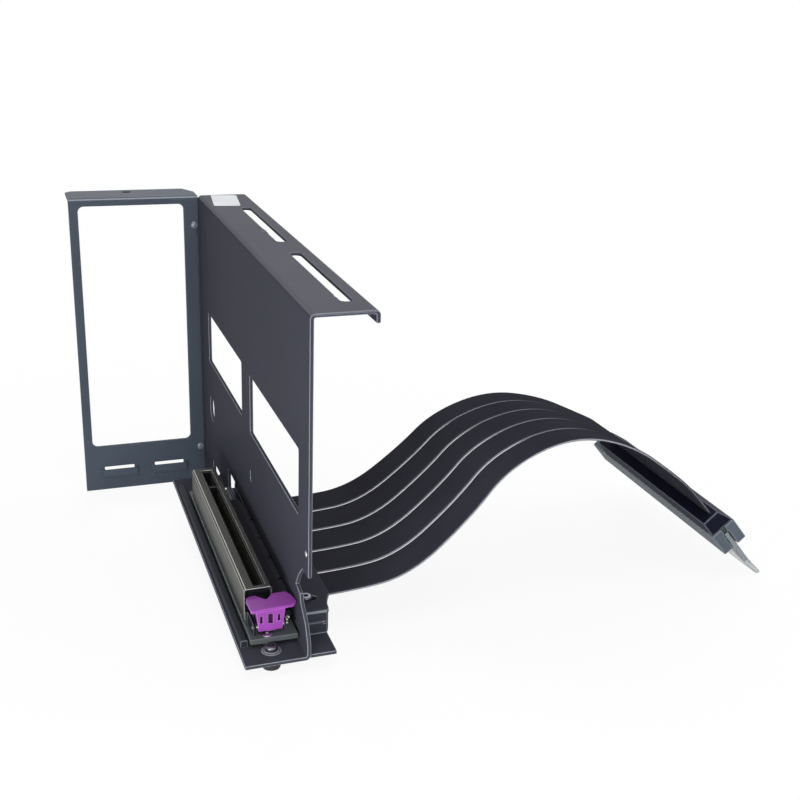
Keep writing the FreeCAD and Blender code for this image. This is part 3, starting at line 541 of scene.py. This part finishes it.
pitch = (RIBBON_Y1 - RIBBON_Y0) / STRIPS
for i in range(STRIPS):
    y0 = RIBBON_Y0 + i * pitch + STRIP_GAP / 2.0
    y1 = RIBBON_Y0 + (i + 1) * pitch - STRIP_GAP / 2.0
    piece, line, length = strip_mesh("ribbon_strip_%d" % (i + 1), y0, y1)
    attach(piece, "mount")
    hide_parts("cable_strip_%d" % (i + 1))
    (y0 + y1) / 2.0
    (y1 - y0) * MM
    print(piece.name, "length", round(length * 1000, 1), "mm")

# %% [markdown]
# ## Softened edges
# Punched sheet and moulded plastic never have a knife edge: the coating rounds it, and the small round
# catches the light as a thin bright line. Each hard piece is copied from its CAD node, its triangles are
# merged into whole faces, and a bevel rounds every edge that is sharper than 35 degrees. The new round
# faces carry a number, and the finishes paint them paler, as a painted highlight for that bright line.
# Weighted normals keep the large faces flat in the light, next to the narrow faces of a sheet's bend.

# %% Softened copies of the hard pieces
SHARP = math.radians(35)
SAME_PLANE = math.radians(0.6)


def merged_copy(node):
    """The node's triangles, joined into whole faces."""
    bm = bmesh.new()
    bm.from_mesh(NODES[node].data)
    bmesh.ops.remove_doubles(bm, verts=bm.verts, dist=1e-6)
    bmesh.ops.dissolve_limit(bm, angle_limit=SAME_PLANE, verts=bm.verts, edges=bm.edges)
    return bm


def soften(piece, width):
    """Bevel the sharp edges and mark the new faces."""
    bevel = piece.modifiers.new("edge", "BEVEL")
    bevel.width = width * MM
    bevel.segments = 2
    bevel.limit_method = "ANGLE"
    bevel.angle_limit = SHARP
    bevel.material = 1
    bevel.use_clamp_overlap = False
    flat = piece.modifiers.new("flat", "WEIGHTED_NORMAL")
    flat.weight = 100
    done = plain_mesh(piece)
    piece.modifiers.clear()
    piece.data = done
    rounds = [float(polygon.material_index) for polygon in done.polygons]
    # marks the round faces, which the finishes paint paler as a painted highlight
    done.attributes.new("rim", "FLOAT", "FACE").data.foreach_set("value", rounds)
    done.polygons.foreach_set("material_index", [0] * len(rounds))


def softened(node, width, slot, body="mount", finish=None, reshape=None):
    """The dressed copy of a node. It may have paint of its own, and reshape may change its form first."""
    bm = merged_copy(node)
    if reshape:
        reshape(bm)
    for face in bm.faces:
        face.smooth = True
    mesh = bpy.data.meshes.new(node + "_look")
    bm.to_mesh(mesh)
    bm.free()
    paint = MATS[finish or slot]
    # the second entry only marks the faces that the bevel makes
    for entry in (paint, paint):
        mesh.materials.append(entry)
    piece = bpy.data.objects.new(node + "_look", mesh)
    bpy.context.collection.objects.link(piece)
    soften(piece, width)
    piece.data.materials.clear()
    piece.data.materials.append(paint)
    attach(piece, body)
    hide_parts(node)
    return piece


print("edges sharper than", round(math.degrees(SHARP)), "degrees will be rounded")

# %% [markdown]
# ## The plug's own directions
# The plug hangs at 50 degrees, so its sizes are easier to give along it and across it than in X and Z. One
# function turns such a pair, and the place across the ribbon, into a point of the row. The plug's upper
# shell is planed off at its far corner, which the ribbon hides on the real plug.

# %% Points of the plug
PLUG_TURN = math.radians(50.0)
PLUG_ROOT = (204.1, 27.5)
SHELL_REAR, SHELL_LOW, SHELL_HALF, SHELL_SLOPE = -60.0, 0.8, 4.9, 12.0


def plug_point(s, n, y):
    """s runs along the plug, n across it."""
    return at(PLUG_ROOT[0] + s * math.cos(PLUG_TURN) + n * math.sin(PLUG_TURN), y,
              PLUG_ROOT[1] - s * math.sin(PLUG_TURN) + n * math.cos(PLUG_TURN))


def slope_corner(bm):
    """Plane off the upper shell's far corner."""
    low = plug_point(0.0, SHELL_LOW, SHELL_REAR)
    high = plug_point(0.0, SHELL_HALF, SHELL_REAR - SHELL_SLOPE)
    along = plug_point(1.0, SHELL_LOW, SHELL_REAR) - low
    outward = (high - low).cross(along)
    if outward.y < 0:
        outward.negate()
    everything = list(bm.verts) + list(bm.edges) + list(bm.faces)
    bmesh.ops.bisect_plane(bm, geom=everything, plane_co=low, plane_no=outward, clear_outer=True)
    bmesh.ops.holes_fill(bm, edges=[e for e in bm.edges if e.is_boundary])


print("the plug starts at", tuple(plug_point(0.0, 0.0, SHELL_REAR)))

# %% [markdown]
# ## Marks on faces
# A deep slot looks darker than its moulding, because shade falls in it, and the crest of a bend looks
# lighter than its sheet, because it catches the light. Each could be cut out as a piece with paint of its
# own, but the real one is all one piece. So its faces get a number, and the finish reads it: painted shade
# in the slots, and a painted highlight on the crests.

# %% Marks for slots and bends
# the latch's three slots, as x and z ranges from its pin
LATCH_PIN = (40.7, -155.3, 21.6)
LATCH_SLOTS = ((-3.4, -2.6, 1.8, 4.0), (-0.9, 0.5, 1.4, 4.6), (2.0, 2.8, 2.0, 4.0))
SLOT_FRONT, SLOT_BACK = -1.25, -0.2
MARK_SLACK = 0.05
CREST = 0.55


def mark_slots(bm):
    """The faces inside the latch's slots carry a number, for painted shade."""
    slot_shade = bm.faces.layers.float.new("slot_shade")
    pin = at(*LATCH_PIN)
    for face in bm.faces:
        x, y, z = (face.calc_center_median() - pin) / MM
        for x0, x1, z0, z1 in LATCH_SLOTS:
            inside_x = x0 - MARK_SLACK < x < x1 + MARK_SLACK
            inside_z = z0 - MARK_SLACK < z < z1 + MARK_SLACK
            if inside_x and inside_z and SLOT_FRONT < y < SLOT_BACK:
                face[slot_shade] = 1.0


def mark_bends(bm):
    """The crest of a bend that faces the front and up carries the number bend, for a painted highlight."""
    bend = bm.faces.layers.float.new("bend")
    for face in bm.faces:
        if face.normal.y < -CREST and face.normal.z > CREST:
            face[bend] = 1.0


print(len(LATCH_SLOTS), "slots to mark on the latch")

# %% [markdown]
# ## Two small changes of form
# In the photograph the shield's open front end is dark, because the housing inside ends further back, and
# the shield's left top fold is tight. Both are moves of a few vertices of the copied mesh, which are found
# by their places in the drawing.

# %% Housing end and shield fold
HOUSING_END, END_RECESS = -147.9, 1.0
SHIELD_WALL = 0.4
# how far below its corner the fold starts, outside and inside, how far along the top it ends, and how
# tight it gets here
FOLD_DOWN, INNER_DOWN, FOLD_IN, FOLD_TIGHT = 1.5, 1.4, 1.1, 0.55
NEAR_ENOUGH = 1e-5


def same(a, b):
    """Equal, apart from rounding."""
    return abs(a - b) < NEAR_ENOUGH


def recess_end(bm):
    """The housing ends behind the shield's open front edge."""
    front = at(0.0, HOUSING_END, 0.0).y
    for v in bm.verts:
        if same(v.co.y, front):
            v.co.y += END_RECESS * MM


def tighten_fold(bm):
    """The outer and the inner line of each side of the fold move to the corner."""
    left = min(v.co.x for v in bm.verts)
    top = max(v.co.z for v in bm.verts)
    for inset, down in ((0.0, FOLD_DOWN), (SHIELD_WALL, INNER_DOWN)):
        x, z = left + inset * MM, top - inset * MM
        for v in bm.verts:
            if same(v.co.x, x) and same(v.co.z, z - down * MM):
                v.co.z = z - FOLD_TIGHT * MM
            elif same(v.co.x, x + FOLD_IN * MM) and same(v.co.z, z):
                v.co.x = x + FOLD_TIGHT * MM


print("fold radius goes from", FOLD_DOWN, "to", FOLD_TIGHT, "mm")

# %% [markdown]
# ## The table of softened pieces
# Each line gives a node's bevel in millimetres and its material slot. A few also name the body they ride
# on, a paint of their own, and the function that changes or marks their mesh first. The plug's thick shells
# take a wide bevel, and the thin boards a narrow one.

# %% Soften the hard pieces
EDGES = {
    "main_bracket": (0.22, "black_steel"),
    "io_plate": (0.22, "black_steel", "mount", "plate_steel", mark_bends),
    "cable_cover": (0.22, "black_steel", "mount", None, mark_bends),
    "base_plate": (0.15, "black_steel"),
    "side_rail": (0.15, "black_plastic"),
    "riser_board": (0.08, "board_green"),
    "slot_housing": (0.12, "slot_plastic", "mount", None, recess_end),
    "slot_shield": (0.10, "shield_metal", "mount", None, tighten_fold),
    "cable_anchor": (0.15, "anchor_plastic"),
    "cable_bed": (0.15, "black_plastic"),
    # the cap takes the paint with painted shade
    "plug_cap": (0.4, "plug_plastic", "mount", "plug_dark"),
    "plug_lower_shell": (0.35, "plug_plastic"),
    "plug_upper_shell": (0.35, "plug_plastic", "mount", None, slope_corner),
    "plug_board": (0.1, "plug_board"),
    "foot": (0.3, "foot_rubber"),
    "latch": (0.12, "latch_purple", "latch", None, mark_slots),
}
looks = {node: softened(node, *how) for node, how in EDGES.items()}
print(len(looks), "softened pieces")

# %% [markdown]
# ## A short language for rows that repeat
# The slot holds some eighty spring contacts on each side, and the plug as many gold pads, all alike and
# one millimetre apart. Placing them by hand would be slow and easy to get wrong, so Geometry Nodes
# makes a line of points and puts one spring or pad on each. This class builds such a tree, keeps its sizes
# as named inputs, and turns the result into a plain mesh.

# %% Node trees that grow a piece


class Maker:
    """A Geometry Nodes tree that is being built."""

    def __init__(self, name):
        self.tree = bpy.data.node_groups.new(name, "GeometryNodeTree")
        for way in ("INPUT", "OUTPUT"):
            self.tree.interface.new_socket("Geometry", in_out=way, socket_type="NodeSocketGeometry")
        self.start = self.tree.nodes.new("NodeGroupInput")
        self.end = self.tree.nodes.new("NodeGroupOutput")
        self.sizes = {}

    def size(self, name, value, kind="NodeSocketFloat"):
        """A named input of the tree, with its value."""
        socket = self.tree.interface.new_socket(name, in_out="INPUT", socket_type=kind)
        self.sizes[socket.identifier] = value
        return self.start.outputs[name]

    def node(self, kind, settings=None, inputs=None):
        """Any node. An input that takes several links is given a list."""
        made = self.tree.nodes.new(kind)
        for key, value in (settings or {}).items():
            setattr(made, key, value)
        for key, value in (inputs or {}).items():
            for one in value if isinstance(value, list) else [value]:
                if isinstance(one, bpy.types.NodeSocket):
                    self.tree.links.new(one, made.inputs[key])
                else:
                    made.inputs[key].default_value = one
        return made.outputs[0]

    def finish(self, shape, material):
        """Turn the copies into real faces, give them their finish, and end the tree."""
        real = self.node("GeometryNodeRealizeInstances", {}, {"Geometry": shape})
        paint = self.size("Finish", material, "NodeSocketMaterial")
        done = self.node("GeometryNodeSetMaterial", {}, {"Geometry": real, "Material": paint})
        self.tree.links.new(done, self.end.inputs[0])

    def grow(self, name, node, points=()):
        """Run the tree on these points, as the piece that takes the place of the node."""
        seed = bpy.data.meshes.new(name + "_points")
        seed.from_pydata([tuple(p) for p in points], [], [])
        piece = bpy.data.objects.new(name, seed)
        bpy.context.collection.objects.link(piece)
        growth = piece.modifiers.new("growth", "NODES")
        growth.node_group = self.tree
        for identifier, value in self.sizes.items():
            growth[identifier] = value
        grown = plain_mesh(piece)
        piece.modifiers.clear()
        piece.data = grown
        grown.name = name
        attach(piece, "mount")
        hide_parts(node)
        print(name, "faces", len(grown.polygons))
        return piece


print("node maker ready")

# %% [markdown]
# ## Slot contacts
# A slot contact is a leaf of springy metal that bows towards the card's edge and touches it with its upper
# part. Its line is a short Bezier curve, and a small rectangle is carried along it. The same leaf stands
# on both walls of both compartments, turned round on the far wall.

# %% Slot contacts
SLOT_REAR, SHORT, KEY, LONG = -60.0, 12.2, 1.6, 72.2
SOCKET_LEFT, SOCKET_WIDTH, LEAF_INSET = 37.7, 3.0, 0.2
CONTACT_FOOT, CONTACT_TOP, CONTACT_PITCH = 21.4, 29.2, 1.0
# the belly's height, as a share of the leaf's
BELLY_AT = 0.7

springs = Maker("slot_contacts")
step = springs.node("ShaderNodeCombineXYZ", {}, {"Y": springs.size("Pitch", CONTACT_PITCH * MM)})
bow = springs.size("Bow", 0.55 * MM)
tall = springs.size("Height", (CONTACT_TOP - CONTACT_FOOT) * MM)
wide = springs.size("Width", 0.6 * MM)
thick = springs.size("Thickness", 0.16 * MM)
belly_up = springs.node("ShaderNodeMath", {"operation": "MULTIPLY"}, {0: tall, 1: BELLY_AT})
belly = springs.node("ShaderNodeCombineXYZ", {}, {"X": bow, "Z": belly_up})
tip = springs.node("ShaderNodeCombineXYZ", {}, {"Z": tall})
leaf = springs.node("GeometryNodeCurveQuadraticBezier", {}, {
    "Resolution": 5, "Start": (0.0, 0.0, 0.0), "Middle": belly, "End": tip})
section = springs.node("GeometryNodeCurvePrimitiveQuadrilateral", {}, {"Width": wide, "Height": thick})
spring = springs.node("GeometryNodeCurveToMesh", {}, {
    "Curve": leaf, "Profile Curve": section, "Fill Caps": True})
rows = []
for length, start in ((SHORT, SLOT_REAR - SHORT), (LONG, SLOT_REAR - SHORT - KEY - LONG)):
    count = int(length - 1.0)
    first = start + (length - count + 1.0) / 2.0
    for x, turn in ((SOCKET_LEFT + LEAF_INSET, 0.0), (SOCKET_LEFT + SOCKET_WIDTH - LEAF_INSET, math.pi)):
        line = springs.node("GeometryNodeMeshLine", {"mode": "OFFSET"}, {
            "Count": count, "Start Location": tuple(at(x, first, CONTACT_FOOT)), "Offset": step})
        rows.append(springs.node("GeometryNodeInstanceOnPoints", {}, {
            "Points": line, "Instance": spring, "Rotation": (0.0, 0.0, turn)}))
springs.finish(springs.node("GeometryNodeJoinGeometry", {}, {"Geometry": rows}), MATS["contact_dark"])
springs.grow("slot_springs", "slot_contacts")

# %% [markdown]
# ## Gold pads
# The plug's board carries a row of gold pads on each side, split by the key. A pad is a very flat block,
# and every block is turned with the plug.

# %% Gold pads on the plug's board
PAD_LENGTH, PAD_START = 7.4, 11.6
PAD_WIDTH, PAD_THICK = 0.7, 0.1
# where the row starts, and its number of pads, on each side of the key
PAD_ROWS = ((-72.5, 11), (-144.5, 70))
PAD_OUT = 0.85

pads = Maker("gold_pads")
pad_step = pads.node("ShaderNodeCombineXYZ", {}, {"Y": pads.size("Pitch", CONTACT_PITCH * MM)})
pad_size = pads.node("ShaderNodeCombineXYZ", {}, {
    "X": pads.size("Length", PAD_LENGTH * MM),
    "Y": pads.size("Width", PAD_WIDTH * MM),
    "Z": pads.size("Thickness", PAD_THICK * MM)})
pad = pads.node("GeometryNodeMeshCube", {}, {"Size": pad_size})
rows = []
for first, count in PAD_ROWS:
    for n in (PAD_OUT, -PAD_OUT):
        line = pads.node("GeometryNodeMeshLine", {"mode": "OFFSET"}, {
            "Count": count, "Offset": pad_step,
            "Start Location": tuple(plug_point(PAD_START + PAD_LENGTH / 2.0, n, first + 0.5))})
        rows.append(pads.node("GeometryNodeInstanceOnPoints", {}, {
            "Points": line, "Instance": pad, "Rotation": (0.0, PLUG_TURN, 0.0)}))
pads.finish(pads.node("GeometryNodeJoinGeometry", {}, {"Geometry": rows}), MATS["contact_gold"])
looks["gold_fingers"] = pads.grow("gold_pads", "gold_fingers")

# %% [markdown]
# ## Rivets
# A rivet is a pin whose two ends are pressed into low domes. Both rivets are one shape, so a tree puts it
# on two points. A dome is a flattened ball that sinks halfway into the sheet.

# %% Rivets
SHEETS, PIN_RADIUS = 2.4, 1.0
RIVET_X, RIVET_HEIGHTS = 47.4, (15.4, 109.6)

rivets = Maker("plate_rivets")
dome_width = rivets.size("Dome radius", 1.5 * MM)
dome_height = rivets.size("Dome height", 0.6 * MM)
ball = rivets.node("GeometryNodeMeshUVSphere", {}, {"Segments": 32, "Rings": 16, "Radius": 1.0})
squash = rivets.node("ShaderNodeCombineXYZ", {}, {"X": dome_width, "Y": dome_height, "Z": dome_width})
parts = []
for y in (0.0, SHEETS):
    parts.append(rivets.node("GeometryNodeTransform", {}, {
        "Geometry": ball, "Translation": (0.0, y * MM, 0.0), "Scale": squash}))
pin = rivets.node("GeometryNodeMeshCylinder", {}, {
    "Vertices": 24, "Radius": PIN_RADIUS * MM, "Depth": SHEETS * MM})
parts.append(rivets.node("GeometryNodeTransform", {}, {
    "Geometry": pin, "Translation": (0.0, SHEETS / 2.0 * MM, 0.0), "Rotation": (math.pi / 2.0, 0.0, 0.0)}))
rivet = rivets.node("GeometryNodeJoinGeometry", {}, {"Geometry": parts})
placed = rivets.node("GeometryNodeInstanceOnPoints", {}, {
    "Points": rivets.start.outputs["Geometry"], "Instance": rivet})
rivets.finish(rivets.node("GeometryNodeSetShadeSmooth", {}, {"Geometry": placed}), MATS["rivet_steel"])
rivets.grow("rivet_pair", "plate_rivets", [at(RIVET_X, 0.0, z) for z in RIVET_HEIGHTS])

# %% [markdown]
# ## The clear sleeve's shape
# A thin, clear, flat tube protects the plug's gold edge in its box. It is softer than all that it sits on,
# so its free end pinches, bends up and waves a little. Its section is one ring of points, and a second
# function says where a point of the ring goes at each step along the plug.

# %% Sleeve section and path
SLEEVE_FRONT, SLEEVE_REAR = -146.7, -60.3
SLEEVE_HALF, SLEEVE_WALL = 1.2, 0.22
SLEEVE_START, SLEEVE_LENGTH, SLEEVE_STEPS = 3.0, 24.4, 30
FREE_FROM, FREE_LENGTH, FREE_LIFT, FREE_PINCH = 15.0, 12.4, 1.1, 0.28
WAVE_HEIGHT, WAVE_ACROSS, WAVE_ALONG = 0.4, 9.0, 2.4
FLAT_POINTS, ROUND_POINTS = 40, 8


def sleeve_ring(inset):
    """Points round the tube's section, as y and n: one flat side, a round edge, and back again."""
    half = SLEEVE_HALF - inset
    y0, y1 = SLEEVE_FRONT + inset, SLEEVE_REAR - inset
    flat = y1 - y0 - 2.0 * half
    shares = [i / FLAT_POINTS for i in range(FLAT_POINTS + 1)]
    turns = [math.pi * k / ROUND_POINTS for k in range(1, ROUND_POINTS)]
    ring = [(y0 + half + flat * k, half) for k in shares]
    ring += [(y1 - half + half * math.sin(a), half * math.cos(a)) for a in turns]
    ring += [(y1 - half - flat * k, -half) for k in shares]
    ring += [(y0 + half - half * math.sin(a), -half * math.cos(a)) for a in turns]
    return ring


def sleeve_place(s, y, n):
    """Where a point of the ring lies, s along the plug."""
    free = max(0.0, (s - FREE_FROM) / FREE_LENGTH)
    lift = FREE_LIFT * free * free
    wave = WAVE_HEIGHT * free * math.sin((y - SLEEVE_FRONT) / WAVE_ACROSS) * math.sin(s / WAVE_ALONG)
    pinch = 1.0 - FREE_PINCH * free
    return plug_point(s, n * pinch + lift + wave, y)


print("the sleeve's ring has", len(sleeve_ring(0.0)), "points")

# %% [markdown]
# ## The clear sleeve's wall
# Film has two sides, and light bends at both. So an outer and an inner skin are lofted, the inner one with
# its faces turned round, and their ends are joined. A Solidify modifier would do the same, but would
# thicken the round edges unevenly.

# %% Clear sleeve


def ring_pairs(ring):
    """Each place in the ring with the next one, all the way round."""
    return [(i, (i + 1) % len(ring)) for i in range(len(ring))]


bm = bmesh.new()
steps = [SLEEVE_START + SLEEVE_LENGTH * i / SLEEVE_STEPS for i in range(SLEEVE_STEPS + 1)]
skins = []
for inset in (0.0, SLEEVE_WALL):
    ring = sleeve_ring(inset)
    skins.append([[bm.verts.new(sleeve_place(s, y, n)) for y, n in ring] for s in steps])
for skin, outward in zip(skins, (True, False)):
    for a, b in zip(skin, skin[1:]):
        for i, k in ring_pairs(a):
            quad = (a[i], a[k], b[k], b[i])
            bm.faces.new(quad if outward else tuple(reversed(quad)))
for end in (0, -1):
    outer, inner = skins[0][end], skins[1][end]
    for i, k in ring_pairs(outer):
        bm.faces.new((outer[i], outer[k], inner[k], inner[i]))
for face in bm.faces:
    face.smooth = True
bmesh.ops.recalc_face_normals(bm, faces=bm.faces)
sleeve_mesh = bpy.data.meshes.new("clear_sleeve")
bm.to_mesh(sleeve_mesh)
bm.free()
sleeve = bpy.data.objects.new("clear_sleeve", sleeve_mesh)
bpy.context.collection.objects.link(sleeve)
sleeve_mesh.materials.append(MATS["clear_film"])
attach(sleeve, "mount")
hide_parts("plug_sleeve")
looks["plug_sleeve"] = sleeve
print("sleeve faces", len(sleeve_mesh.polygons))

# %% [markdown]
# ## Small nodes that keep their CAD shape
# Screws, spacers, the stud, the latch's pin and the sticker are right as they are, and a bevel on them would
# be too small to see. They only need their finish.

# %% Finishes for the nodes that stay
OWN_FINISH = {"panel_stud": "bright_steel"}
REPLACED = ("slot_contacts", "plate_rivets")
kept = 0
for record in frame["record"]["subparts"]:
    node = record["node"]
    if node in looks or node in REPLACED or node.startswith("cable_strip"):
        continue
    obj = NODES[node]
    paint = MATS[OWN_FINISH.get(node, record["material_slot"])]
    if obj.material_slots:
        for entry in obj.material_slots:
            entry.material = paint
    else:
        obj.data.materials.append(paint)
    kept += 1
print(kept, "nodes keep their shape")

# %% [markdown]

# %% [markdown]
# ## The floor
# The photograph is a cut-out on white with a faint contact shadow. The floor passes through the three
# points that the mount really stands on: the panel's lower front corner, the foot and the plug's sleeve.
# Its paper is matte, so that it takes the shadow, and it glows plain white in what the camera, a mirror or
# glass sees of it. The glow is a little weaker near the mount, where the shadow has to show.

# %% Floor
SLOPE_X, SLOPE_Y, FLOOR_Z = -0.018567, -0.07603, -0.62
REACH = 1500.0
WHITE = (1.0, 1.0, 1.0, 1.0)
# the glow's strength near the mount, and the distances, in metres, between which it rises to 1
NEAR_GLOW, FADE_START, FADE_END = 0.91, 0.12, 0.42


def floor_height(x, y):
    return SLOPE_X * x + SLOPE_Y * y + FLOOR_Z


def seen_rays(tree):
    """Above zero for rays from the camera, a mirror or glass, and zero for the light that falls on things."""
    names = ("Is Camera Ray", "Is Glossy Ray", "Is Transmission Ray")
    seen, shine, through = tree.outputs("ShaderNodeLightPath", {}, names)
    return seen + shine + through


corners = [(-REACH, -REACH), (REACH, -REACH), (REACH, REACH), (-REACH, REACH)]
floor_mesh = bpy.data.meshes.new("floor")
floor_mesh.from_pydata([tuple(at(x, y, floor_height(x, y))) for x, y in corners], [], [(0, 1, 2, 3)])
floor = bpy.data.objects.new("floor", floor_mesh)
bpy.context.collection.objects.link(floor)
paper = Finish("paper")
white = paper.node("ShaderNodeEmission", {}, {"Color": WHITE, "Strength": 1.0})
matte = paper.node("ShaderNodeBsdfDiffuse", {}, {"Color": (0.9, 0.9, 0.91, 1.0)})
far = paper.node("ShaderNodeVectorMath", {"operation": "LENGTH"}, {0: paper.place()}, out=1)
glow = seen_rays(paper) * paper.soft_step(far, FADE_START, FADE_END, NEAR_GLOW, 1.0)
paper.show(paper.node("ShaderNodeMixShader", {}, {0: glow, 1: matte, 2: white}))
floor_mesh.materials.append(paper.material)
foot_points = [v.co / MM - SHIFT for v in looks["foot"].data.vertices]
print("from foot to floor", round(min(p.z - floor_height(p.x, p.y) for p in foot_points), 2), "mm")

# %% [markdown]
# ## The world
# The background is white wherever it is seen, and a dim grey as a light, so that it fills the shadows
# without washing the dark paint out.

# %% World
FILL = 0.42

world = bpy.data.worlds.new("studio")
bpy.context.scene.world = world
world.use_nodes = True
studio = ShaderTree(world.node_tree)
strength = studio.node("ShaderNodeMapRange", {}, {"Value": seen_rays(studio), "To Min": FILL, "To Max": 1.0})
studio.show(studio.node("ShaderNodeBackground", {}, {"Color": WHITE, "Strength": strength}),
            "ShaderNodeOutputWorld")
print("fill light", FILL)

# %% [markdown]
# ## Lamps
# Five soft square lamps stand round the mount: one above it, one in front, one behind, one on the right,
# and a small one low on the left, which lights the latch and the panel's lower front as in the photograph.
# Each is given by its place, the point it looks at, its size in metres and its power in watts.

# %% Lamps


def lamp(name, place, target, size, watts):
    data = bpy.data.lights.new(name, "AREA")
    data.shape = "SQUARE"
    data.size = size
    data.energy = watts
    obj = bpy.data.objects.new(name, data)
    bpy.context.collection.objects.link(obj)
    obj.location = place
    obj.rotation_euler = (Vector(target) - Vector(place)).to_track_quat("-Z", "Y").to_euler()


lamp("key", (-0.1, -0.4, 1.25), (0.03, 0.0, 0.05), 0.8, 5.5)
lamp("front", (0.0, -1.15, 0.45), (0.05, 0.0, 0.05), 0.6, 4.6)
lamp("back", (0.2, 0.9, 0.9), (0.03, 0.0, 0.05), 0.6, 4.0)
lamp("low", (-0.16, -0.26, 0.012), (0.02, -0.07, 0.03), 0.12, 1.5)
lamp("right", (1.1, 0.25, 0.35), (0.05, 0.0, 0.05), 0.6, 3.5)
bpy.context.scene.view_settings.view_transform = "Standard"
print(len(bpy.data.lights), "lamps")
